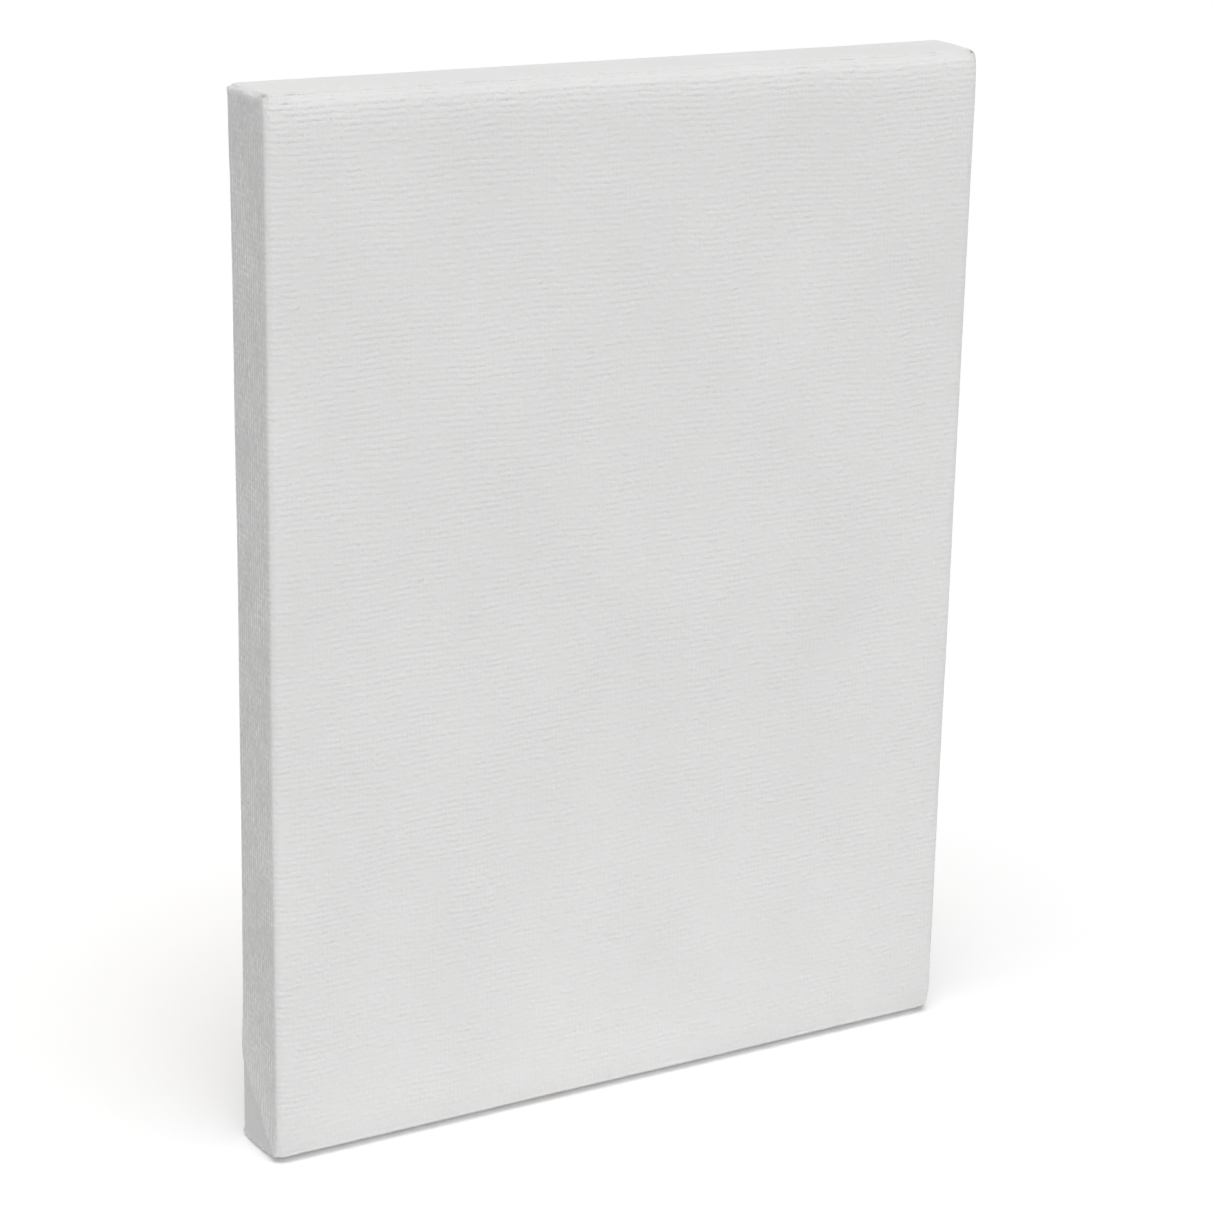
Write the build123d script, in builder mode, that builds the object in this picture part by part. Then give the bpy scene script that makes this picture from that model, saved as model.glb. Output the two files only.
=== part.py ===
"""A small stretched canvas: primed cotton stapled over four keyed stretcher bars.

Row frame: +Z up, the painting side faces -Y, and the origin is the middle of the
underside. The frame stands on its lower edge, as on an easel's ledge.
"""

import os

from build123d import *

# Driving dimensions, in millimetres.
canvas_width = 150.0
canvas_height = 200.0
canvas_depth = 16.0
cloth = 0.6  # primed cotton, with its ground
margin = 20.0  # cloth turned onto the back

bar_width = 32.0
bead_width = 5.0  # raised lip that holds the cloth off the bar
bead_height = 2.2
bevel_drop = 1.2  # how far the bar's face falls from the lip to its inner edge

corner_round = 1.6  # bars, seen from the front
front_round = 2.9  # bars, outer front edge
back_round = 1.0  # bars, outer back edge
eased = 0.6  # bars, inner edges
bead_fillet = 1.0

# Joint layers in the bars' thickness, counted from the back: a mitred skin, two
# layers that each hold a tongue or a slot, and the mitred front.
back_skin = 3.5
layer = 3.0

key_reach = 20.0  # slot's depth, in from the bar's inner edge
key_tip = 1.5
slot_mouth = 7.0
key_proud = 12.0  # what stands out of the slot
key_thickness = 2.8
key_clearance = 0.06
key_corner = 0.8

crown_length = 10.0
crown_width = 1.0
crown_thickness = 0.4
leg_length = 6.0
staple_inset = 9.0  # from the outer edge of the bars
corner_inset = 12.0
end_staple_spacing = 32.0
side_staple_spacing = 36.0

# Worked out from them.
frame_width = canvas_width - 2 * cloth
frame_height = canvas_height - 2 * cloth
frame_depth = canvas_depth - 2 * cloth
back_y = frame_depth / 2
low_z = cloth
high_z = cloth + frame_height
centre_z = canvas_height / 2
right_x = frame_width / 2
front_layer = back_skin + layer
front_skin = back_skin + 2 * layer
bead_foot = frame_depth - bead_height
through = 4 * canvas_depth

os.makedirs("parts", exist_ok=True)


def write(builder, name):
    builder.part.label = name
    export_step(builder.part, f"parts/{name}.step")


def rounded_block(grow):
    """The block that the bars fill, grown all round by a thickness of cloth."""
    with BuildPart(Plane.XY.offset(centre_z)) as block:
        Box(frame_width + 2 * grow, frame_depth + 2 * grow, frame_height + 2 * grow)
        fillet(block.edges().filter_by(Axis.Y), corner_round + grow)
        fillet(block.faces().sort_by(Axis.Y)[0].edges(), front_round + grow)
        fillet(block.faces().sort_by(Axis.Y)[-1].edges(), back_round + grow)
    return block.part


frame_block = rounded_block(0)

# The bars follow one another round the frame, and each is drawn in its own plane on
# the bars' back face: x runs along the bar from its outer corner, y runs in from the
# outer edge, and z runs from the back towards the front.
bars = {
    "bottom": (Plane((-right_x, back_y, low_z), (1, 0, 0), (0, -1, 0)), frame_width),
    "right": (Plane((right_x, back_y, low_z), (0, 0, 1), (0, -1, 0)), frame_height),
    "top": (Plane((right_x, back_y, high_z), (-1, 0, 0), (0, -1, 0)), frame_width),
    "left": (Plane((-right_x, back_y, high_z), (0, 0, -1), (0, -1, 0)), frame_height),
}


def outline(plane, depth, thickness, points, mode):
    """One flat layer of the joint, cut or added in the part that is open."""
    with BuildSketch(plane.offset(depth)) as shape:
        with BuildLine():
            Polyline(*points, close=True)
        make_face()
    extrude(shape.sketch, amount=thickness, mode=mode)


def at_end(points, length, far):
    """Points drawn for a bar's near end, turned round for its far end."""
    return [(length - x, y) for x, y in points] if far else points


def staples_on(places, plane):
    """Staples driven in from the back; each place is x, y and a turn in degrees."""
    with BuildPart() as staples:
        for x, y, turn in places:
            spot = plane * Location((x, y, -cloth)) * Rotation(0, 0, turn)
            with BuildSketch(Plane(spot)):
                Rectangle(crown_length, crown_width)
            extrude(amount=crown_thickness)
            with BuildSketch(Plane(spot).offset(crown_thickness)):
                with GridLocations(crown_length - crown_thickness, 0, 2, 1):
                    Rectangle(crown_thickness, crown_width)
            extrude(amount=leg_length)
    return staples


def side_places(length, spacing, count):
    """A row of staples centred on a bar, its crowns along the bar."""
    first = length / 2 - spacing * (count - 1) / 2
    return [(first + spacing * i, staple_inset, 0) for i in range(count)]


staples = {}
for side, (plane, length) in bars.items():
    upright = side in ("left", "right")
    spacing = side_staple_spacing if upright else end_staple_spacing
    places = side_places(length, spacing, 4 if upright else 3)
    staples[f"staples_{side}"] = staples_on(places, plane)

# One staple holds each folded corner, across the mitre.
with BuildPart() as staples_corners:
    for plane, _ in bars.values():
        add(staples_on([(corner_inset, corner_inset, -45)], plane).part)
staples["staples_corners"] = staples_corners

for name, group in staples.items():
    write(group, name)

# Stretcher bars. A bar's near end has its tongue in the front layer and its slot in
# the back one, and its far end the other way round, so four bars lock in a ring.
section_points = [
    (0, 0),
    (bar_width, 0),
    (bar_width, bead_foot - bevel_drop),
    (bead_width, bead_foot),
    (bead_width, frame_depth),
    (0, frame_depth),
]
section_rounds = [0, eased, eased, bead_fillet, bead_fillet, 0]
mitre = [(0, 0), (0, bar_width), (bar_width, bar_width)]
slot = [
    (0, 0),
    (bar_width, 0),
    (bar_width, bar_width - key_reach),
    (bar_width + key_tip, bar_width - key_reach),
    (bar_width + slot_mouth, bar_width),
    (0, bar_width),
]

for side, (plane, length) in bars.items():
    near_end = Plane(plane.origin, plane.y_dir, plane.x_dir)
    with BuildPart() as bar:
        with BuildSketch(near_end):
            with BuildLine():
                FilletPolyline(*section_points, radius=section_rounds, close=True)
            make_face()
        extrude(amount=length)
        for far in (False, True):
            ends = at_end(mitre, length, far)
            outline(plane, 0, back_skin, ends, Mode.SUBTRACT)
            outline(plane, front_skin, frame_depth, ends, Mode.SUBTRACT)
            slot_depth = front_layer if far else back_skin
            outline(plane, slot_depth, layer, at_end(slot, length, far), Mode.SUBTRACT)
        add(frame_block, mode=Mode.INTERSECT)
        for group in staples.values():
            add(group.part, mode=Mode.SUBTRACT)
    write(bar, f"bar_{side}")

# Corner keys. Each lies in one bar's slot with its straight edge on the next bar.
slope = (slot_mouth - key_tip) / key_reach
key_start = bar_width - key_reach + key_clearance
key_head = bar_width + key_proud
near_x = bar_width + key_clearance
tip_x = bar_width + key_tip - key_clearance
head_x = bar_width + slot_mouth + slope * (key_proud - key_corner) - key_clearance
key = [
    (near_x, key_start),
    (tip_x, key_start),
    (head_x, key_head - key_corner),
    (head_x - key_corner, key_head),
    (near_x, key_head),
]
side_gap = (layer - key_thickness) / 2
corner_of = {"bottom": "left", "right": "bottom", "top": "right", "left": "top"}
next_bar = {"bottom": "right", "right": "top", "top": "left", "left": "bottom"}


def key_name(side, far):
    """Named by its corner, and by which way its long edge runs."""
    other = next_bar[side] if far else corner_of[side]
    level, upright = (other, side) if side in ("left", "right") else (side, other)
    return f"key_{level}_{upright}_" + ("level" if side == upright else "upright")


for side, (plane, length) in bars.items():
    for far in (False, True):
        slot_depth = (front_layer if far else back_skin) + side_gap
        with BuildPart() as wedge:
            outline(plane, slot_depth, key_thickness, at_end(key, length, far), Mode.ADD)
        write(wedge, key_name(side, far))

# Canvas: one piece of cloth over the front and all four edges, open at the back
# inside its turned margins.
with BuildPart() as canvas:
    add(rounded_block(cloth))
    add(frame_block, mode=Mode.SUBTRACT)
    with BuildSketch(Plane.XZ.offset(-back_y)):
        with Locations((0, centre_z)):
            Rectangle(frame_width - 2 * margin, frame_height - 2 * margin)
    extrude(amount=-through, mode=Mode.SUBTRACT)
    for group in staples.values():
        add(group.part, mode=Mode.SUBTRACT)
write(canvas, "canvas")
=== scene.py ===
"""A small stretched canvas: primed cotton folded and stapled over four keyed pine bars.

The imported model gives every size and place, in its own frame: +Z up, the painting side
towards -Y, and the origin in the middle of the underside. Lengths inside the shaping
functions are in millimetres.
"""

import math
import random

import bmesh
import bpy
from bpy.props import FloatProperty, FloatVectorProperty, IntProperty, PointerProperty
from mathutils import Matrix, Vector, noise


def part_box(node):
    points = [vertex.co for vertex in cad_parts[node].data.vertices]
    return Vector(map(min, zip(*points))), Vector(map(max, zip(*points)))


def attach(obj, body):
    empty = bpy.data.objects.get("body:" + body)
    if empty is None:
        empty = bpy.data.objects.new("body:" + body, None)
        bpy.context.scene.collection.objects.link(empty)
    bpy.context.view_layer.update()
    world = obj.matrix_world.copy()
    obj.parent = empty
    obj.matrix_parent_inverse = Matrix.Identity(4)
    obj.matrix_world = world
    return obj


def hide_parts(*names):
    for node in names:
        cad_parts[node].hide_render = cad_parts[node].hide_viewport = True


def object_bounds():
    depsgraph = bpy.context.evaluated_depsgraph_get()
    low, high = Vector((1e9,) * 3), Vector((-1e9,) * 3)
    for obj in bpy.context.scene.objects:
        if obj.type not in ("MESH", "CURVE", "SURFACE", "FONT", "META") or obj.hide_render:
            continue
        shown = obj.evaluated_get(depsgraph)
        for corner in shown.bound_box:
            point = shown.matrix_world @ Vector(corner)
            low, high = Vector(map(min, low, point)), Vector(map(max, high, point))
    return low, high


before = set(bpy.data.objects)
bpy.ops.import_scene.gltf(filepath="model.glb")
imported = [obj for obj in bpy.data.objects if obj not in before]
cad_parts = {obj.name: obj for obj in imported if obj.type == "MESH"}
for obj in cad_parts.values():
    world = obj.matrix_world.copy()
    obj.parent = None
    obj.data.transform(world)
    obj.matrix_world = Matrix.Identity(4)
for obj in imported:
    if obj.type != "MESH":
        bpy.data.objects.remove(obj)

bl_info = {
    "name": "Stretched canvas",
    "version": (1, 0, 0),
    "blender": (4, 5, 0),
    "location": "3D View > Sidebar > Canvas",
    "description": "Builds a small stretched canvas round its packed frame",
    "category": "Object",
}

MM = 0.001
CORNER_KEYS = sorted(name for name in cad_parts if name.startswith("key_"))
STAPLE_NODES = sorted(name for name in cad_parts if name.startswith("staples_"))
BAR_NODES = sorted(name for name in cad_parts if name.startswith("bar_"))
cad_low, cad_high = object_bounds()
WIDTH, DEPTH, HEIGHT = (cad_high - cad_low) / MM
BAR_LOW, BAR_HIGH = (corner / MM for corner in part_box("bar_left"))
CLOTH = DEPTH / 2 - BAR_HIGH.y


# Sizes and colours


def length(name, description, default):
    """A length in metres, from a default in millimetres."""
    return FloatProperty(
        name=name,
        description=description,
        default=default * MM,
        min=0,
        unit="LENGTH",
        precision=5,
    )


def share(name, description, default):
    return FloatProperty(
        name=name, description=description, default=default, min=0, subtype="FACTOR"
    )


def angle(name, description, default):
    return FloatProperty(
        name=name,
        description=description,
        default=math.radians(default),
        unit="ROTATION",
    )


def colour(name, description, default):
    return FloatVectorProperty(
        name=name,
        description=description,
        default=default,
        min=0,
        max=1,
        subtype="COLOR",
    )


class ClothSettings(bpy.types.PropertyGroup):
    thickness: length("Cloth thickness", "Cotton with its ground", CLOTH)
    side_round: length("Side rounding", "Outer radius at the upright front edges", 1.6)
    end_round: length("End rounding", "Outer radius at the top front edge", 2.6)
    foot_round: length("Foot rounding", "Outer radius at the bottom front edge", 2.8)
    back_round: length("Back rounding", "Outer radius at the back and the corners", 1.4)
    side_shoulder: length("Side shoulder", "Fall of the front to its sides", 0.28)
    end_shoulder: length("End shoulder", "Fall of the front to its ends", 1.1)
    margin: length("Turned margin", "Cloth turned onto the back", 20.6)
    fold_lift: length("Fold lift", "How far the tucked corners stand out", 0.6)
    bow: length("Side bow", "How much prouder the sides are at their ends", 0.25)
    thread_across: length("Upright thread spacing", "Width over 167 threads", 0.9)
    thread_up: length("Level thread spacing", "Height over 179 threads", 1.117)
    primed_relief: length("Primed weave relief", "Height of the primed threads", 0.16)
    raw_relief: length("Raw weave relief", "Height of the bare threads", 0.12)
    ground: colour("Ground", "White acrylic ground", (0.86, 0.86, 0.855))
    raw_light: colour("Raw cotton", "Unprimed cotton", (0.80, 0.74, 0.62))
    raw_dark: colour("Raw cotton shadow", "Between the threads", (0.52, 0.45, 0.34))
    slub: colour("Slubs", "Thicker, paler thread", (0.84, 0.80, 0.71))
    husk: colour("Seed husk", "Bits left in raw cotton", (0.27, 0.19, 0.11))
    frayed: IntProperty(
        name="Frayed threads",
        description="Loose threads along each cut edge",
        default=34,
        min=0,
    )


class WoodSettings(bpy.types.PropertyGroup):
    ring_spacing: length("Ring spacing", "Between the bars' growth rings", 2.3)
    pine_light: colour("Pine earlywood", "Pale wood", (0.74, 0.55, 0.34))
    pine_dark: colour("Pine latewood", "Dark ring lines", (0.50, 0.29, 0.13))
    pine_contrast: share("Pine contrast", "How clearly the rings show", 0.8)
    key_spacing: length("Key ring spacing", "Between the keys' growth rings", 1.1)
    key_light: colour("Key wood", "Pale hardwood", (0.79, 0.64, 0.45))
    key_dark: colour("Key grain", "Hardwood grain lines", (0.62, 0.44, 0.27))
    key_contrast: share("Key contrast", "How clearly the rings show", 0.45)
    key_ease: length("Key edges", "Rounding of the keys' edges", 0.25)


class StapleSettings(bpy.types.PropertyGroup):
    wire: colour("Wire", "Galvanised steel wire", (0.58, 0.58, 0.59))
    ease: length("Wire edges", "Rounding of the wire's edges", 0.12)


class StageSettings(bpy.types.PropertyGroup):
    floor: colour("Floor", "Pale floor", (0.90, 0.90, 0.90))
    sky: colour("Surroundings", "Even studio light", (1.0, 1.0, 1.0))
    sky_strength: share("Surroundings strength", "Even light from all round", 0.04)
    floor_glow: share("Floor glow", "Light that the floor gives itself", 0.16)
    key_strength: share("Key light", "Strength of the light from above", 2.65)
    key_spread: angle("Key light spread", "Softness of its shadows", 45)
    back_strength: share("Back light", "Strength of the light from behind", 0.55)
    back_spread: angle("Back light spread", "Softness of its shadows", 40)
    azimuth: angle("Camera azimuth", "Round from the painting side", -30.64)
    elevation: angle("Camera elevation", "Above the horizon", 17.25)
    roll: angle("Camera roll", "Turn about the line of sight", 1.13)
    distance: length("Camera distance", "From the middle of the canvas", 621.2)
    aside: length("Camera aside", "To the left of the middle of the canvas", 1.4)
    lowered: length("Camera lowered", "Below the middle of the canvas", 3.0)
    lens: FloatProperty(
        name="Lens",
        description="Focal length on a 36 mm sensor",
        default=96.6,
        unit="CAMERA",
    )


class CanvasSettings(bpy.types.PropertyGroup):
    cloth: PointerProperty(type=ClothSettings, name="Cloth", description="The canvas")
    wood: PointerProperty(type=WoodSettings, name="Wood", description="Bars and keys")
    staple: PointerProperty(type=StapleSettings, name="Staples", description="Wire")
    stage: PointerProperty(type=StageSettings, name="Stage", description="Studio")


# Reliefs of the finest surfaces, in metres.
WOOD_RELIEF = 0.09 * MM
WIRE_RELIEF = 0.01 * MM
FIBRE_RELIEF = 0.03 * MM


# Node trees


class Nodes:
    """Adds nodes to a material; an input is a number, a colour or another output."""

    def __init__(self, name):
        self.material = bpy.data.materials.new(name)
        self.material.use_nodes = True
        self.tree = self.material.node_tree
        self.shader = self.tree.nodes["Principled BSDF"]

    def add(self, kind, inputs=None, **settings):
        node = self.tree.nodes.new(kind)
        for name, value in settings.items():
            setattr(node, name, value)
        for name, value in (inputs or {}).items():
            self.feed(node.inputs[name], value)
        return node

    def feed(self, socket, value):
        if isinstance(value, bpy.types.NodeSocket):
            self.tree.links.new(value, socket)
        else:
            socket.default_value = value

    def calc(self, operation, *values):
        inputs = dict(enumerate(values))
        return self.add("ShaderNodeMath", inputs, operation=operation).outputs[0]

    def join(self, x, y, z=0.0):
        return self.add("ShaderNodeCombineXYZ", {0: x, 1: y, 2: z}).outputs[0]

    def split(self, vector):
        return self.add("ShaderNodeSeparateXYZ", {0: vector}).outputs

    def object_place(self):
        return self.split(self.add("ShaderNodeTexCoord").outputs["Object"])

    def own(self, attribute):
        """A value that the mesh holds at each of its points."""
        return self.add("ShaderNodeAttribute", attribute_name=attribute).outputs["Fac"]

    def noise(self, vector, scale, detail=2.0, roughness=0.5):
        inputs = {"Vector": vector, "Scale": scale, "Detail": detail}
        inputs["Roughness"] = roughness
        return self.add("ShaderNodeTexNoise", inputs).outputs["Fac"]

    def fit(self, value, low, high, to_low, to_high):
        names = ("Value", "From Min", "From Max", "To Min", "To Max")
        inputs = dict(zip(names, (value, low, high, to_low, to_high)))
        return self.add("ShaderNodeMapRange", inputs).outputs["Result"]

    def blend(self, factor, first, second, how="MIX"):
        node = self.add("ShaderNodeMix", data_type="RGBA", blend_type=how)
        self.feed(node.inputs["Factor"], factor)
        self.feed(node.inputs[6], first)
        self.feed(node.inputs[7], second)
        return node.outputs[2]

    def bump(self, height, distance, strength=1.0):
        inputs = {"Strength": strength, "Distance": distance, "Height": height}
        return self.add("ShaderNodeBump", inputs).outputs["Normal"]

    def finish(self, **values):
        for name, value in values.items():
            self.feed(self.shader.inputs[name.replace("_", " ")], value)
        return self.material


def opaque(rgb):
    return (*rgb, 1.0)


def darker(rgb, share_kept):
    return opaque([channel * share_kept for channel in rgb])


# Cloth materials


def thread_places(nodes):
    """Places on the cloth counted in threads, with the drift of a hand-stretched weave."""
    across, up, _ = nodes.split(nodes.add("ShaderNodeUVMap", uv_map="weave").outputs[0])
    spot = nodes.join(across, up)
    slow = nodes.fit(nodes.noise(spot, 0.045, 1.0), 0, 1, -0.9, 0.9)
    quick = nodes.fit(nodes.noise(spot, 0.31, 1.0), 0, 1, -0.2, 0.2)
    drift = nodes.calc("ADD", slow, quick)
    return nodes.calc("ADD", across, drift), nodes.calc("SUBTRACT", up, drift)


def one_way(nodes, along, over, lift, uneven):
    """Height of the threads that run along: rounded backs, rising where they pass over."""
    cell = nodes.calc("FLOOR", over)
    back = nodes.calc("ABSOLUTE", nodes.calc("SINE", nodes.calc("MULTIPLY", over, math.pi)))
    back = nodes.calc("POWER", back, 0.7)
    turn = nodes.calc("ADD", nodes.calc("SUBTRACT", along, 0.5), cell)
    rise = nodes.calc("COSINE", nodes.calc("MULTIPLY", turn, math.pi))
    rise = nodes.calc("MULTIPLY_ADD", rise, lift, 1 - abs(lift))
    place = nodes.join(nodes.calc("MULTIPLY", along, 0.36), nodes.calc("MULTIPLY", cell, 1.37))
    body = nodes.noise(place, 1.0, 2.0)
    body = nodes.fit(body, 0.25, 0.75, 1 - uneven, 1 + uneven)
    return nodes.calc("MULTIPLY", nodes.calc("MULTIPLY", back, rise), body)


def primed_cotton(cloth):
    """White acrylic ground, brushed level over the weave so that it half fills it."""
    nodes = Nodes("primed_cotton")
    across, up = thread_places(nodes)
    spot = nodes.join(across, up)
    level = one_way(nodes, across, up, 0.14, 0.75)
    level = nodes.calc("MULTIPLY", level, nodes.own("level_threads"))
    upright = one_way(nodes, up, across, -0.2, 0.75)
    upright = nodes.calc("MULTIPLY", upright, nodes.own("upright_threads"))
    weave = nodes.calc("SMOOTH_MAX", level, upright, 0.2)
    cover = nodes.fit(nodes.noise(spot, 0.07, 3.0), 0.35, 0.7, 0.55, 1.0)
    stroke = nodes.join(nodes.calc("MULTIPLY", across, 0.4), nodes.calc("MULTIPLY", up, 1.2))
    stroke = nodes.noise(stroke, 1.0, 3.0, 0.6)
    grain = nodes.noise(spot, 1.3, 3.0, 0.65)
    clots = nodes.fit(nodes.noise(spot, 2.4, 2.0), 0.44, 0.66, 0.0, 1.4)
    height = nodes.calc("MULTIPLY", weave, cover)
    height = nodes.calc("MULTIPLY_ADD", stroke, 1.0, height)
    height = nodes.calc("MULTIPLY_ADD", grain, 0.9, height)
    height = nodes.calc("MULTIPLY_ADD", clots, nodes.own("fold"), height)
    cloudy = nodes.fit(nodes.noise(spot, 0.03, 2.0), 0.3, 0.7, 0, 1)
    paint = nodes.blend(cloudy, opaque(cloth.ground), darker(cloth.ground, 0.965))
    # Painted shade: the ground is darkened where its height lies low between the threads, by
    # the share of painted shade that each point holds.
    hollow = nodes.fit(height, 1.2, 3.0, 1.0, 0.0)
    hollow = nodes.calc("MULTIPLY", hollow, nodes.own("painted_hollow_shade"))
    paint = nodes.blend(hollow, paint, darker(cloth.ground, 0.55))
    fleck = nodes.add("ShaderNodeTexVoronoi", {"Vector": spot, "Scale": 0.045}).outputs[0]
    fleck = nodes.fit(fleck, 0.015, 0.04, 0.3, 0.0)
    paint = nodes.blend(fleck, paint, darker(cloth.ground, 0.8))
    return nodes.finish(
        Base_Color=paint,
        Roughness=nodes.fit(grain, 0.3, 0.7, 0.72, 0.88),
        Normal=nodes.bump(height, cloth.primed_relief),
        Specular_IOR_Level=0.35,
    )


def raw_cotton(cloth):
    """Bare cotton, as on the back and at the cut edges, with bits of seed husk."""
    nodes = Nodes("raw_cotton")
    across, up = thread_places(nodes)
    spot = nodes.join(across, up)
    level = one_way(nodes, across, up, 0.4, 0.25)
    upright = one_way(nodes, up, across, -0.4, 0.25)
    weave = nodes.calc("SMOOTH_MAX", level, nodes.calc("MULTIPLY", upright, 0.92), 0.12)
    fibre = nodes.noise(spot, 3.1, 3.0, 0.65)
    slub = nodes.noise(spot, 0.21, 2.0)
    height = nodes.calc("MULTIPLY_ADD", fibre, 0.22, weave)
    # Painted shade: the cotton is darker where the weave lies low between the threads, and the
    # fibres vary its tone.
    shade_and_fibre_tone = nodes.fit(nodes.calc("MULTIPLY_ADD", fibre, 0.35, weave), 0.1, 0.95, 0, 1)
    thread = nodes.blend(shade_and_fibre_tone, opaque(cloth.raw_dark), opaque(cloth.raw_light))
    warm = nodes.fit(slub, 0.3, 0.7, 0, 0.35)
    thread = nodes.blend(warm, thread, opaque(cloth.slub))
    husk = nodes.add("ShaderNodeTexVoronoi", {"Vector": spot, "Scale": 0.16}).outputs[0]
    husk = nodes.fit(husk, 0.03, 0.075, 0.75, 0.0)
    thread = nodes.blend(husk, thread, opaque(cloth.husk))
    return nodes.finish(
        Base_Color=thread,
        Roughness=nodes.fit(fibre, 0.3, 0.7, 0.86, 0.97),
        Normal=nodes.bump(height, cloth.raw_relief),
        Specular_IOR_Level=0.2,
        Sheen_Weight=0.15,
    )


# Wood and wire materials


def grained_wood(name, along, pith, spacing, light, dark, contrast):
    """Straight-grained wood; along is the axis its grain follows, 0 to 2.

    The pith is given by how far it lies beside the piece on the two other axes, in
    millimetres, and by its slope along the grain.
    """
    nodes = Nodes(name)
    place = nodes.object_place()
    run = place[along]
    first, second = (place[axis] for axis in range(3) if axis != along)
    slow = nodes.noise(nodes.join(nodes.calc("MULTIPLY", run, 9.0), first, second), 1.0, 2.0)
    sway = nodes.fit(slow, 0.3, 0.7, -0.0022, 0.0022)
    a = nodes.calc("ADD", first, nodes.calc("ADD", sway, pith[0] * MM))
    b = nodes.calc("ADD", second, nodes.calc("MULTIPLY_ADD", run, pith[2], pith[1] * MM))
    reach = nodes.calc("SQRT", nodes.calc("MULTIPLY_ADD", a, a, nodes.calc("MULTIPLY", b, b)))
    patch = nodes.noise(nodes.join(reach, 0.0), 260.0, 1.0)
    rings = nodes.calc("MULTIPLY_ADD", patch, 1.1, nodes.calc("DIVIDE", reach, spacing))
    ring = nodes.calc("FRACT", rings)
    late = nodes.add("ShaderNodeValToRGB", {"Fac": ring})
    stops = late.color_ramp.elements
    stops[0].position, stops[0].color = 0.0, (0.10, 0.10, 0.10, 1)
    stops[1].position, stops[1].color = 1.0, (0.12, 0.12, 0.12, 1)
    for position, value in ((0.45, 0.2), (0.8, 0.75), (0.93, 1.0)):
        stops.new(position).color = (value, value, value, 1)
    fine = nodes.join(
        nodes.calc("MULTIPLY", run, 45.0),
        nodes.calc("MULTIPLY", first, 1700.0),
        nodes.calc("MULTIPLY", second, 1700.0),
    )
    fibre = nodes.noise(fine, 1.0, 3.0, 0.6)
    broad = nodes.noise(nodes.join(nodes.calc("MULTIPLY", run, 20.0), first, second), 6.0, 3.0)
    grain = nodes.calc("MULTIPLY", late.outputs["Color"], contrast)
    grain = nodes.calc("ADD", grain, nodes.fit(fibre, 0.3, 0.7, -0.14, 0.14))
    grain = nodes.calc("ADD", grain, nodes.fit(broad, 0.3, 0.7, -0.06, 0.06))
    wood = nodes.blend(nodes.fit(grain, 0, 1, 0, 1), opaque(light), opaque(dark))
    pore = nodes.fit(nodes.noise(fine, 0.45, 1.0), 0.66, 0.74, 0.0, 0.35)
    wood = nodes.blend(pore, wood, darker(dark, 0.62))
    height = nodes.calc("MULTIPLY_ADD", fibre, 0.7, nodes.calc("MULTIPLY", grain, 0.3))
    return nodes.finish(
        Base_Color=wood,
        Roughness=nodes.fit(fibre, 0.3, 0.7, 0.58, 0.74),
        Normal=nodes.bump(height, WOOD_RELIEF),
        Specular_IOR_Level=0.4,
    )


def drawn_wire(staple):
    """Galvanised steel wire, drawn along its length and scuffed by the driver."""
    nodes = Nodes("drawn_wire")
    spot = nodes.join(*nodes.object_place())
    scuff = nodes.noise(spot, 900.0, 3.0, 0.6)
    dull = nodes.noise(spot, 120.0, 2.0)
    dull = nodes.fit(dull, 0.35, 0.65, 0, 1)
    metal = nodes.blend(dull, opaque(staple.wire), darker(staple.wire, 0.8))
    return nodes.finish(
        Base_Color=metal,
        Metallic=1.0,
        Roughness=nodes.fit(scuff, 0.3, 0.7, 0.26, 0.48),
        Normal=nodes.bump(scuff, WIRE_RELIEF),
    )


# Shaping


def smooth(low, high, value):
    """0 up to low, 1 from high, and an even rise between them."""
    t = min(max((value - low) / (high - low), 0.0), 1.0)
    return t * t * (3 - 2 * t)


def bell(value, middle, width):
    """1 at the middle, falling away smoothly on both sides."""
    return math.exp(-(((value - middle) / width) ** 2))


def make_object(name, mesh, body):
    """Puts a mesh in the scene, riding on its body."""
    piece = bpy.data.objects.new(name, mesh)
    bpy.context.scene.collection.objects.link(piece)
    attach(piece, body)
    return piece


def loose_parts(bm):
    """The vertices of each separate solid in a mesh, in the mesh's own order."""
    seen, parts = set(), []
    for start in bm.verts:
        if start in seen:
            continue
        seen.add(start)
        part, open_ends = [], [start]
        while open_ends:
            vert = open_ends.pop()
            part.append(vert)
            for edge in vert.link_edges:
                other = edge.other_vert(vert)
                if other not in seen:
                    seen.add(other)
                    open_ends.append(other)
        parts.append(part)
    return parts


def merged_copy(node):
    """A CAD node's mesh with its faces joined at their shared corners."""
    bm = bmesh.new()
    bm.from_mesh(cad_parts[node].data)
    bmesh.ops.remove_doubles(bm, verts=bm.verts, dist=0.001 * MM)
    return bm


def crowns():
    """The two ends of every staple's crown, as X and Z in millimetres."""
    found = []
    for node in STAPLE_NODES:
        bm = merged_copy(node)
        for part in loose_parts(bm):
            top = [v.co.xz / MM for v in part if v.co.y > (BAR_HIGH.y + CLOTH / 2) * MM]
            middle = sum(top, Vector((0, 0))) / len(top)
            reach = max((p - middle for p in top), key=lambda offset: offset.length)
            halves = [[p for p in top if (p - middle).dot(way) > 0] for way in (reach, -reach)]
            found.append([sum(half, Vector((0, 0))) / len(half) for half in halves])
        bm.free()
    return found


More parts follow.
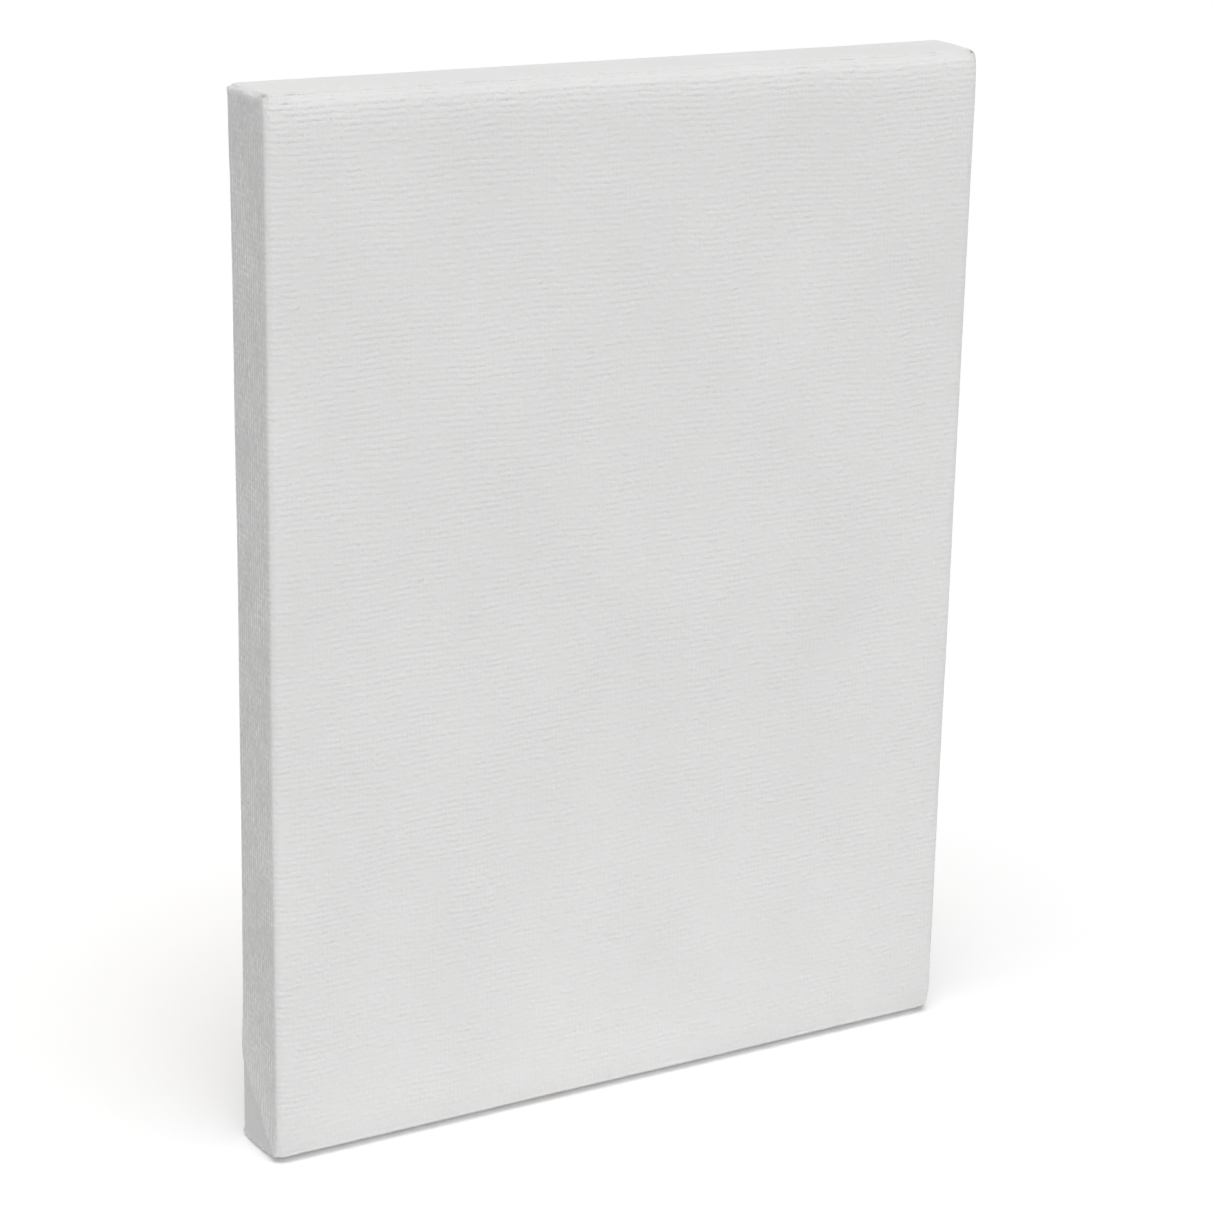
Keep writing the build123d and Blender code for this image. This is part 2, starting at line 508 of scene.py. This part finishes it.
def eased_copy(name, node, ease, body):
    """A CAD node's own shape with its edges rounded, in place of the node."""
    bm = merged_copy(node)
    flat = math.radians(1)
    bmesh.ops.dissolve_limit(bm, angle_limit=flat, verts=bm.verts, edges=bm.edges)
    edges = [edge for edge in bm.edges if edge.calc_face_angle(0) > math.radians(20)]
    bmesh.ops.bevel(
        bm,
        geom=edges,
        offset=ease,
        offset_type="OFFSET",
        segments=3,
        profile=0.5,
        affect="EDGES",
        clamp_overlap=True,
        material=-1,
    )
    for face in bm.faces:
        face.smooth = True
    mesh = bpy.data.meshes.new(name)
    bm.to_mesh(mesh)
    bm.free()
    mesh.set_sharp_from_angle(angle=math.radians(40))
    piece = make_object(name, mesh, body)
    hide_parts(node)
    return piece


# Each corner is folded by hand, so each stands out by its own share of the lift. The
# keys say whether the corner is on the right and at the top.
CORNER_LIFT = {
    (False, False): 1.0,
    (False, True): 0.4,
    (True, False): 0.8,
    (True, True): 0.75,
}

# How sharply the edge of the cloth tucked inside shows, from 0 for soft to 1 for a
# clear ridge.
CORNER_RIDGE = {
    (False, False): 1.0,
    (False, True): 0.15,
    (True, False): 0.7,
    (True, True): 0.3,
}

# Heights and depths, in millimetres.
RIDGE_HEIGHT = 0.7
ROLL_HEIGHT, ROLL_LEAST = 0.2, 0.03
CREASE_DEEPEST = 0.42
FOLD_LEAN = 0.12
FRONT_PROUD = 0.2
RIGHT_EDGE_FALL, FOOT_EDGE_FALL = 1.0, 0.6
STAPLE_DENT = 0.34

# Distances over which the front falls to its edges, in millimetres.
SIDE_FALL_REACH, END_FALL_REACH, EDGE_FALL_REACH = 6, 7, 3

# The hem of a tucked corner slants across the side: its rise for each millimetre away
# from the front, and the share that makes a rise a distance square to the hem.
HEM_SLOPE, HEM_SQUARE = 1.2, 0.64

# The right front edge is pulled over less tightly than the left one.
RIGHT_ROUNDER = 1.4

# How proud the level and the upright threads stand, as shares of the weave's relief.
FRONT_THREADS = (1.0, 0.65)
SIDE_THREADS = (1.1, 2.0)
END_THREADS = (0.4, 0.35)


class ClothShape:
    """Where each point of the flat-sided wrapping goes on the real, folded one.

    In its methods base is a point of the flat-sided wrapping, path is the distance along
    the cloth from the front edge, past is the part of it beyond the back edge, and across
    is the distance from a corner's fold, positive towards the side.
    """

    def __init__(self, cloth):
        self.side_round = cloth.side_round / MM
        self.end_round = cloth.end_round / MM
        self.foot_round = cloth.foot_round / MM
        self.back_round = cloth.back_round / MM
        self.side_shoulder = cloth.side_shoulder / MM
        self.end_shoulder = cloth.end_shoulder / MM
        self.lift = cloth.fold_lift / MM
        self.bow = cloth.bow / MM
        self.margin = cloth.margin / MM
        self.middle = Vector((0, 0, HEIGHT / 2))
        self.half = Vector((WIDTH / 2, DEPTH / 2, HEIGHT / 2))
        self.crowns = crowns()

    def inset(self, base):
        """How far a point is in from the side edge and from the end edge."""
        p = base - self.middle
        return self.half.x - abs(p.x), self.half.z - abs(p.z)

    def corner(self, base):
        """Whether the nearest corner is on the right and at the top."""
        return base.x > 0, base.z > self.middle.z

    def on_back(self, base):
        return base.y > self.half.y - 0.001

    def path(self, base):
        """Distance along the cloth from the front edge."""
        from_side, from_end = self.inset(base)
        past = min(from_side, from_end) if self.on_back(base) else 0
        return base.y + self.half.y + past

    def rounding(self, base):
        """Radius of the nearest edge: wider along the top and bottom of the front."""
        from_side, from_end = self.inset(base)
        right, top = self.corner(base)
        end = 1 - smooth(-4, 4, from_end - from_side)
        level = self.end_round if top else self.foot_round
        upright = self.side_round * (RIGHT_ROUNDER if right else 1)
        front = upright + (level - upright) * end
        return front + (self.back_round - front) * smooth(4, 9, self.path(base))

    def fold(self, base):
        """Height of the tucked corner over the bars, and how far its edge leans over."""
        from_side, from_end = self.inset(base)
        path = self.path(base)
        begun = smooth(0.4, 7.0, path)
        wobble = noise.noise(Vector((path * 0.35, base.z * 0.02, base.x * 0.1)))
        across = from_end - from_side - 0.25 * wobble * begun
        lumps = noise.noise(Vector((path * 0.8, base.z * 0.9, base.x * 0.9 + 7)))
        height = self.flap(base, across, begun, wobble)
        height += self.roll(base, across, begun, lumps)
        height -= self.crease(base, across, begun, lumps)
        lean = FOLD_LEAN * bell(across, 0.3, 0.35) * begun
        return height, -lean

    def flap(self, base, across, begun, wobble):
        """Height of the tucked layers, which end softly or in a ridge at their hem."""
        path = self.path(base)
        past = max(path - DEPTH, 0)
        reach = min(path, DEPTH) * (1 - past / (self.margin + 4))
        own = CORNER_LIFT[self.corner(base)]
        lift = self.lift * own * (0.2 + 0.8 * min(path / DEPTH, 1)) * begun
        lift *= (1 + 0.2 * wobble) * (1 - 0.7 * smooth(9, 19, past))
        ended = smooth(reach - 5.5, reach + 3.5, across)
        flap = lift * smooth(-0.1, 0.7, across) * (1 - ended)
        ridge = self.ridge(base)
        flap *= 1 - ridge
        beyond = self.beyond_hem(base)
        crest = math.exp(-beyond / 4) if beyond > 0 else 1 - smooth(0, 1.5, -beyond)
        fading = 1 - 0.5 * smooth(9, DEPTH, path)
        return flap + ridge * RIDGE_HEIGHT * crest * fading * smooth(0, 1, across)

    def ridge(self, base):
        """How clearly the hem of the tuck shows at this corner, 0 to 1."""
        path = self.path(base)
        own = CORNER_RIDGE[self.corner(base)]
        return own * smooth(0.5, 4, path) * (1 - smooth(0, 8, path - DEPTH))

    def beyond_hem(self, base):
        """Distance past the slanting hem of the cloth tucked in at a corner of the side."""
        from_side, from_end = self.inset(base)
        path = min(self.path(base), DEPTH)
        waver = 0.5 * noise.noise(Vector((path * 0.35, 1.3, base.x * 0.1)))
        hem = HEM_SLOPE * path + waver
        return HEM_SQUARE * (from_end - from_side - hem)

    def roll(self, base, across, begun, lumps):
        """Height of the fold's own edge, rounded and lumpy with ground."""
        path = self.path(base)
        past = max(path - DEPTH, 0)
        knots = noise.noise(Vector((path * 1.7, base.z * 1.9, base.x * 1.9)))
        roll = max(ROLL_HEIGHT + 0.25 * lumps + 0.3 * knots, ROLL_LEAST)
        roll *= bell(across, 0.9, 0.8) * begun
        roll *= 1 - 0.5 * smooth(DEPTH - 5, DEPTH, path)
        return roll * (1 - 0.6 * smooth(2, 10, past))

    def crease(self, base, across, begun, lumps):
        """Depth of the line where the fold lies on the top or the bottom."""
        path = self.path(base)
        past = max(path - DEPTH, 0)
        worn = 0.04 + 0.1 * lumps + 0.2 * smooth(9, 14, path) + 0.5 * smooth(1, 6, past)
        return min(worn, CREASE_DEEPEST) * bell(across, -0.1, 0.24) * begun

    def fold_edge(self, base):
        """Where the ground has clotted along the fold, 0 to 1."""
        from_side, from_end = self.inset(base)
        path = self.path(base)
        if path < 0.001:
            return 0.4 * math.exp(-((Vector((from_side, from_end)).length / 3) ** 2))
        near_front = 0.35 + 0.65 * bell(path, 0, 5)
        return bell(from_end - from_side, 0.1, 1.1) * near_front * smooth(-0.7, 1.6, path)

    def painted_hollow_shade(self, base):
        """How much painted shade darkens the ground between the threads: most on the sides,
        which come out darker overall.
        """
        from_side, from_end = self.inset(base)
        path = self.path(base)
        turned = smooth(0.3, 2.0, path) * smooth(0.2, 2.2, from_end - from_side)
        # Less painted shade just past the hem of a tucked corner, and a little less on the
        # tuck itself.
        beyond = self.beyond_hem(base)
        eased = 0.6 * math.exp(-beyond / 5) if beyond > 0 else 0.3
        turned *= 1 - eased * self.ridge(base)
        shade = 0.06 + 0.62 * turned * (1 - 0.8 * smooth(1, 5, path - DEPTH))
        # More painted shade between the clots along a fold.
        return shade + 0.15 * self.fold_edge(base) * (1 - smooth(0, 3, path - DEPTH))

    def thread_relief(self, base):
        """How proud the level and the upright threads stand at a point."""
        from_side, from_end = self.inset(base)
        turned = smooth(0.3, 2.5, self.path(base)) * (1 - 0.6 * self.on_back(base))
        panel = SIDE_THREADS if from_side < from_end else END_THREADS
        # Lower threads on the tuck of a corner also deepen the painted shade between them, so
        # the tuck comes out darker and smoother.
        filled_and_shaded = 1
        if from_side < from_end and self.beyond_hem(base) < 0:
            filled_and_shaded = 1 - 0.6 * self.ridge(base)
        pairs = zip(FRONT_THREADS, panel)
        return [(flat + (over - flat) * turned) * filled_and_shaded for flat, over in pairs]

    def front_rise(self, base):
        """How far the front stands out: flat in the middle, falling to its edges."""
        from_side, from_end = self.inset(base)
        right, top = self.corner(base)
        fall = self.side_shoulder * max(1 - from_side / SIDE_FALL_REACH, 0) ** 2
        fall += self.end_shoulder * max(1 - from_end / END_FALL_REACH, 0) ** 2
        if right:
            fall += RIGHT_EDGE_FALL * max(1 - from_side / EDGE_FALL_REACH, 0) ** 2
        if not top:
            fall += FOOT_EDGE_FALL * max(1 - from_end / EDGE_FALL_REACH, 0) ** 2
        return (FRONT_PROUD - fall) * (1 - smooth(0, 4, base.y + self.half.y))

    def side_bow(self, base):
        """The sides stand a little prouder at their ends than half way up."""
        from_side, from_end = self.inset(base)
        along = 1 - from_end / self.half.z
        on_side = 1 - smooth(0, 6, from_side)
        back = smooth(0, DEPTH, base.y + self.half.y)
        return self.bow * along * along * on_side * back

    def pressed(self, base, height):
        """The same height where a staple's crown holds the cloth down."""
        spot = Vector((base.x, base.z))
        for first, last in self.crowns:
            along = last - first
            t = min(max((spot - first).dot(along) / along.length_squared, 0), 1)
            gap = (spot - first - along * t).length
            hold = 1 - smooth(0.7, 3.2, gap)
            height += (-STAPLE_DENT - height) * hold
        return height

    def ripple(self, base):
        """The slight unevenness of stretched cloth."""
        slow = noise.noise(base * 0.03) * 0.09
        return slow + noise.noise(base * 0.22 + Vector((3, 5, 9))) * 0.035

    def toward_end(self, base, out):
        """The way along the surface from the side to the end; none on the front."""
        p = base - self.middle
        x_sign, z_sign = math.copysign(1, p.x), math.copysign(1, p.z)
        if self.on_back(base):
            return Vector((-x_sign, 0, z_sign)) * math.sqrt(0.5)
        if self.path(base) > 0.001:
            return Vector((x_sign * out.z * z_sign, 0, -z_sign * out.x * x_sign))
        return Vector((0, 0, 0))

    def place(self, base):
        """Where a point goes on the folded cloth, in metres."""
        radius = self.rounding(base)
        inner = self.half - Vector((radius,) * 3)
        p = base - self.middle
        core = Vector(min(max(p[i], -inner[i]), inner[i]) for i in range(3))
        out = (p - core).normalized()
        height, lean = self.fold(base)
        if self.on_back(base):
            height = self.pressed(base, height)
        moved = core + out * (radius + height + self.ripple(base))
        moved -= self.toward_end(base, out) * lean
        moved.y -= self.front_rise(base)
        moved.x += math.copysign(self.side_bow(base), p.x)
        return (moved + self.middle) * MM

    def flat_place(self, base, centre):
        """A point's place on the flat cloth, as seen from the face with this centre."""
        from_side, from_end = self.inset(centre)
        p = base - self.middle
        if centre.y < -self.half.y + 0.001:
            return Vector((p.x, p.z))
        path = self.half.y + base.y
        side_in, end_in = self.inset(base)
        if from_side < from_end:
            return Vector((math.copysign(self.half.x + path + side_in, centre.x), p.z))
        rise = math.copysign(self.half.z + path + end_in, centre.z - self.middle.z)
        return Vector((p.x, rise))


# The grid's lines lie close together near each edge, in millimetres from it: on the
# front, and on the edges and the margins, where the lines beyond are evenly spaced.
EDGE_STEPS = (0.0, 0.25, 0.5, 0.8, 1.15, 1.6, 2.2, 3.0)
TURN_STEPS = (0.25, 0.55, 0.9, 1.3, 1.7)
WALL_STEP, MARGIN_STEP = 0.7, 0.8


def columns(half):
    """Places from -half to half, close together at both ends."""
    inner = half - EDGE_STEPS[-1]
    count = round(inner)
    even = [inner * (2 * i / count - 1) for i in range(count + 1)]
    start = [step - half for step in EDGE_STEPS[:-1]]
    return start + even + [-place for place in reversed(start)]


def even_steps(start, end, near):
    """Places from start to end, without start, about the given step apart."""
    count = round((end - start) / near)
    step = (end - start) / count
    return [start + step * i for i in range(1, count + 1)]


def next_ring(bm, ring):
    """Extrudes a ring of edges; gives the new ring and its vertices."""
    new = bmesh.ops.extrude_edge_only(bm, edges=ring)["geom"]
    verts = [item for item in new if isinstance(item, bmesh.types.BMVert)]
    edges = [item for item in new if isinstance(item, bmesh.types.BMEdge)]
    return [edge for edge in edges if edge.is_boundary], verts


def wrap_cloth(shape):
    """One grid for the front, carried over its edges and onto the back ring by ring."""
    xs, zs = columns(shape.half.x), columns(shape.half.z)
    bm = bmesh.new()
    x_faces, z_faces = len(xs) - 1, len(zs) - 1
    bmesh.ops.create_grid(bm, x_segments=x_faces, y_segments=z_faces, size=1)
    for vert in bm.verts:
        x = xs[round((vert.co.x + 1) / 2 * x_faces)]
        z = zs[round((vert.co.y + 1) / 2 * z_faces)]
        vert.co = Vector((x, -shape.half.y, z)) + shape.middle
    last = TURN_STEPS[-1]
    walls = list(TURN_STEPS) + even_steps(last, DEPTH - last, WALL_STEP)
    walls += [DEPTH - step for step in reversed(TURN_STEPS[:-1])] + [DEPTH]
    ring = [edge for edge in bm.edges if edge.is_boundary]
    for wall in walls:
        ring, verts = next_ring(bm, ring)
        for vert in verts:
            vert.co.y = wall - shape.half.y
    before = 0
    for inset in list(TURN_STEPS) + even_steps(last, shape.margin, MARGIN_STEP):
        ring, verts = next_ring(bm, ring)
        for vert in verts:
            p = vert.co - shape.middle
            p.x *= (shape.half.x - inset) / (shape.half.x - before)
            p.z *= (shape.half.z - inset) / (shape.half.z - before)
            vert.co = p + shape.middle
        before = inset
    return bm


def lay_weave(bm, shape, threads):
    """A UV map of the flat cloth, counted in threads."""
    weave = bm.loops.layers.uv.new("weave")
    for face in bm.faces:
        centre = face.calc_center_median()
        for loop in face.loops:
            flat = shape.flat_place(loop.vert.co, centre)
            loop[weave].uv = (flat.x / threads.x, flat.y / threads.y)


def mark_ground(bm, shape):
    """What the primed ground's material reads at each point of the cloth."""
    fold = bm.verts.layers.float.new("fold")
    shade = bm.verts.layers.float.new("painted_hollow_shade")
    level = bm.verts.layers.float.new("level_threads")
    upright = bm.verts.layers.float.new("upright_threads")
    for vert in bm.verts:
        vert[fold] = shape.fold_edge(vert.co)
        vert[shade] = shape.painted_hollow_shade(vert.co)
        vert[level], vert[upright] = shape.thread_relief(vert.co)


class CANVAS_OT_cloth(bpy.types.Operator):
    """Builds the canvas: front, edges, tucked corners and the stapled margins"""

    bl_idname = "canvas.cloth"
    bl_label = "Canvas"

    def execute(self, context):
        cloth = context.scene.stretched_canvas.cloth
        shape = ClothShape(cloth)
        bm = wrap_cloth(shape)
        lay_weave(bm, shape, Vector((cloth.thread_across, cloth.thread_up)) / MM)
        mark_ground(bm, shape)
        for face in bm.faces:
            face.smooth = True
        for vert in bm.verts:
            vert.co = shape.place(vert.co)
        mesh = bpy.data.meshes.new("stretched_cloth")
        bm.to_mesh(mesh)
        bm.free()
        piece = make_object("stretched_cloth", mesh, "frame")
        mesh.materials.append(primed_cotton(cloth))
        mesh.materials.append(raw_cotton(cloth))
        wall = piece.modifiers.new("thickness", "SOLIDIFY")
        wall.thickness = cloth.thickness
        wall.offset = -1
        wall.material_offset = 1
        wall.material_offset_rim = 1
        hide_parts("canvas")
        fringe = frayed_threads(shape, cloth.frayed)
        fringe.data.materials.append(loose_cotton(cloth))
        return {"FINISHED"}


def frayed_threads(shape, count):
    """Short loose threads along the cut edges of the turned margins.

    Each edge has the way along it, the way that its threads point, its distance from the
    middle of the canvas and half its length.
    """
    draw = random.Random(11)
    lengths = (0.9, 1.3, 1.8, 2.6, 3.6)
    points = 4
    data = bpy.data.curves.new("frayed_threads", "CURVE")
    data.dimensions = "3D"
    data.bevel_depth = 0.1 * MM
    data.bevel_resolution = 0
    data.resolution_u = 3
    data.use_fill_caps = True
    reach = shape.half - Vector((shape.margin, 0, shape.margin))
    edges = (
        (Vector((0, 0, 1)), Vector((1, 0, 0)), reach.x, reach.z),
        (Vector((0, 0, 1)), Vector((-1, 0, 0)), reach.x, reach.z),
        (Vector((1, 0, 0)), Vector((0, 0, 1)), reach.z, reach.x),
        (Vector((1, 0, 0)), Vector((0, 0, -1)), reach.z, reach.x),
    )
    for along, outward, away, half_length in edges:
        for _ in range(round(count * half_length / reach.z)):
            start = along * draw.uniform(-half_length, half_length)
            start += shape.middle + outward * (away + 0.3)
            start.y = BAR_HIGH.y + 0.3
            size = draw.choice(lengths)
            drift = draw.uniform(-0.9, 0.9)
            curl = draw.uniform(-0.8, 0.8)
            spline = data.splines.new("NURBS")
            spline.points.add(points - 1)
            for i, point in enumerate(spline.points):
                t = i / (points - 1)
                place = start - outward * size * t + along * size * (drift * t + curl * t * t)
                place.y += draw.uniform(-0.12, 0.35) * t
                point.co = (*(place * MM), 1)
                point.radius = 1 - 0.45 * t
            spline.order_u = 3
            spline.use_endpoint_u = True
    curve = bpy.data.objects.new("frayed_curve", data)
    mesh = bpy.data.meshes.new_from_object(curve)
    bpy.data.objects.remove(curve)
    mesh.name = "frayed_threads"
    for face in mesh.polygons:
        face.use_smooth = True
    return make_object("frayed_threads", mesh, "frame")


def loose_cotton(cloth):
    """The frayed threads' own material: raw cotton, here and there stiff with ground."""
    nodes = Nodes("loose_cotton")
    spot = nodes.join(*nodes.object_place())
    fibre = nodes.noise(spot, 2600.0, 2.0)
    daub = nodes.fit(nodes.noise(spot, 90.0, 1.0), 0.45, 0.55, 0, 1)
    thread = nodes.blend(daub, opaque(cloth.raw_light), opaque(cloth.ground))
    shade = nodes.fit(fibre, 0.3, 0.7, 0.0, 0.35)
    return nodes.finish(
        Base_Color=nodes.blend(shade, thread, opaque(cloth.raw_dark)),
        Roughness=nodes.fit(fibre, 0.3, 0.7, 0.85, 0.97),
        Normal=nodes.bump(fibre, FIBRE_RELIEF),
        Specular_IOR_Level=0.2,
    )


class CANVAS_OT_bars(bpy.types.Operator):
    """Gives each stretcher bar its own piece of pine"""

    bl_idname = "canvas.bars"
    bl_label = "Stretcher bars"

    def execute(self, context):
        wood = context.scene.stretched_canvas.wood
        piths = ((31, -170, 0.012), (-38, -230, -0.02), (44, 40, 0.016), (-29, -36, 0.01))
        for node, pith in zip(BAR_NODES, piths):
            low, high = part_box(node)
            along = 0 if high.x - low.x > high.z - low.z else 2
            pine = grained_wood(
                f"pine_{node}",
                along,
                pith,
                wood.ring_spacing,
                wood.pine_light,
                wood.pine_dark,
                wood.pine_contrast,
            )
            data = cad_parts[node].data
            data.materials.clear()
            data.materials.append(pine)
        return {"FINISHED"}


class CANVAS_OT_keys(bpy.types.Operator):
    """Makes the corner keys, each on its own sliding body"""

    bl_idname = "canvas.keys"
    bl_label = "Corner keys"

    def execute(self, context):
        wood = context.scene.stretched_canvas.wood
        pith = (9, 60, 0.03)
        kinds = {}
        for along, way in ((0, "level"), (2, "upright")):
            kinds[way] = grained_wood(
                f"key_wood_{way}",
                along,
                pith,
                wood.key_spacing,
                wood.key_light,
                wood.key_dark,
                wood.key_contrast,
            )
        for node in CORNER_KEYS:
            name = node.replace("key_", "wedge_")
            piece = eased_copy(name, node, wood.key_ease, node)
            piece.data.materials.append(kinds[node.split("_")[-1]])
        return {"FINISHED"}


class CANVAS_OT_staples(bpy.types.Operator):
    """Makes the staples, pressed into the margins"""

    bl_idname = "canvas.staples"
    bl_label = "Staples"

    def execute(self, context):
        staple = context.scene.stretched_canvas.staple
        wire = drawn_wire(staple)
        for node in STAPLE_NODES:
            name = node.replace("staples_", "wire_")
            piece = eased_copy(name, node, staple.ease, "frame")
            piece.data.materials.append(wire)
        return {"FINISHED"}


# Stage


def curved_floor():
    """A round floor whose rim curves upwards, in metres."""
    radius, bend, bend_angle, steps = 4.5, 1.5, math.radians(80), 8
    bm = bmesh.new()
    bmesh.ops.create_circle(bm, cap_ends=True, segments=96, radius=radius)
    ring = [edge for edge in bm.edges if edge.is_boundary]
    for step in range(1, steps + 1):
        turn = bend_angle * step / steps
        ring, verts = next_ring(bm, ring)
        for vert in verts:
            vert.co.z = bend * (1 - math.cos(turn))
            spread = radius + bend * math.sin(turn)
            vert.co.x, vert.co.y = vert.co.xy.normalized() * spread
    for face in bm.faces:
        face.smooth = True
    mesh = bpy.data.meshes.new("floor")
    bm.to_mesh(mesh)
    bm.free()
    return mesh


def soft_light(name, toward, strength, spread):
    """A wide, even light from one direction; toward points from the canvas to it."""
    data = bpy.data.lights.new(name, "SUN")
    data.energy = strength
    data.angle = spread
    lamp = bpy.data.objects.new(name, data)
    lamp.rotation_euler = Vector(toward).to_track_quat("Z", "Y").to_euler()
    bpy.context.scene.collection.objects.link(lamp)


def aim_camera(stage, centre):
    """A camera turned about the middle of the canvas, with a touch of roll.

    The directions back, right and up are the camera's own.
    """
    a, e, roll = stage.azimuth, stage.elevation, stage.roll
    back = Vector((math.sin(a) * math.cos(e), -math.cos(a) * math.cos(e), math.sin(e)))
    right = Vector((0, 0, 1)).cross(back).normalized()
    up = back.cross(right)
    right, up = (
        right * math.cos(roll) + up * math.sin(roll),
        up * math.cos(roll) - right * math.sin(roll),
    )
    place = centre + back * stage.distance - right * stage.aside - up * stage.lowered
    turn = Matrix((right, up, back)).transposed().to_4x4()
    data = bpy.data.cameras.new("camera")
    data.lens = stage.lens
    data.sensor_width = 36
    data.clip_start = 10 * MM
    camera = bpy.data.objects.new("camera", data)
    camera.matrix_world = Matrix.Translation(place) @ turn
    bpy.context.scene.collection.objects.link(camera)
    bpy.context.scene.camera = camera


class CANVAS_OT_stage(bpy.types.Operator):
    """Sets the pale floor, the soft lights and the camera"""

    bl_idname = "canvas.stage"
    bl_label = "Studio"

    def execute(self, context):
        stage = context.scene.stretched_canvas.stage
        floor = bpy.data.objects.new("floor", curved_floor())
        context.scene.collection.objects.link(floor)
        nodes = Nodes("pale_floor")
        floor.data.materials.append(
            nodes.finish(
                Base_Color=opaque(stage.floor),
                Roughness=0.9,
                Emission_Color=opaque(stage.floor),
                Emission_Strength=stage.floor_glow,
            )
        )
        world = bpy.data.worlds.new("studio")
        context.scene.world = world
        world.use_nodes = True
        sky = world.node_tree.nodes["Background"]
        sky.inputs["Color"].default_value = opaque(stage.sky)
        sky.inputs["Strength"].default_value = stage.sky_strength
        above, behind = (-0.1, -0.28, 0.96), (0.1, 0.85, 0.5)
        soft_light("key_light", above, stage.key_strength, stage.key_spread)
        soft_light("back_light", behind, stage.back_strength, stage.back_spread)
        aim_camera(stage, (cad_low + cad_high) / 2)
        context.scene.view_settings.view_transform = "Standard"
        return {"FINISHED"}


class CANVAS_PT_panel(bpy.types.Panel):
    """Lists the steps that build the canvas, and its sizes and colours"""

    bl_label = "Stretched canvas"
    bl_idname = "CANVAS_PT_panel"
    bl_space_type = "VIEW_3D"
    bl_region_type = "UI"
    bl_category = "Canvas"

    def draw(self, context):
        settings = context.scene.stretched_canvas
        for operator in OPERATORS:
            self.layout.operator(operator.bl_idname)
        for group in (settings.cloth, settings.wood, settings.staple, settings.stage):
            box = self.layout.box()
            for name in group.__annotations__:
                box.prop(group, name)


GROUPS = (ClothSettings, WoodSettings, StapleSettings, StageSettings, CanvasSettings)
OPERATORS = (
    CANVAS_OT_cloth,
    CANVAS_OT_bars,
    CANVAS_OT_keys,
    CANVAS_OT_staples,
    CANVAS_OT_stage,
)


def register():
    for kind in (*GROUPS, *OPERATORS, CANVAS_PT_panel):
        bpy.utils.register_class(kind)
    bpy.types.Scene.stretched_canvas = PointerProperty(type=CanvasSettings)


def unregister():
    del bpy.types.Scene.stretched_canvas
    for kind in reversed((*GROUPS, *OPERATORS, CANVAS_PT_panel)):
        bpy.utils.unregister_class(kind)


def main():
    register()
    bpy.ops.canvas.cloth()
    bpy.ops.canvas.bars()
    bpy.ops.canvas.keys()
    bpy.ops.canvas.staples()
    bpy.ops.canvas.stage()


if __name__ == "__main__":
    main()
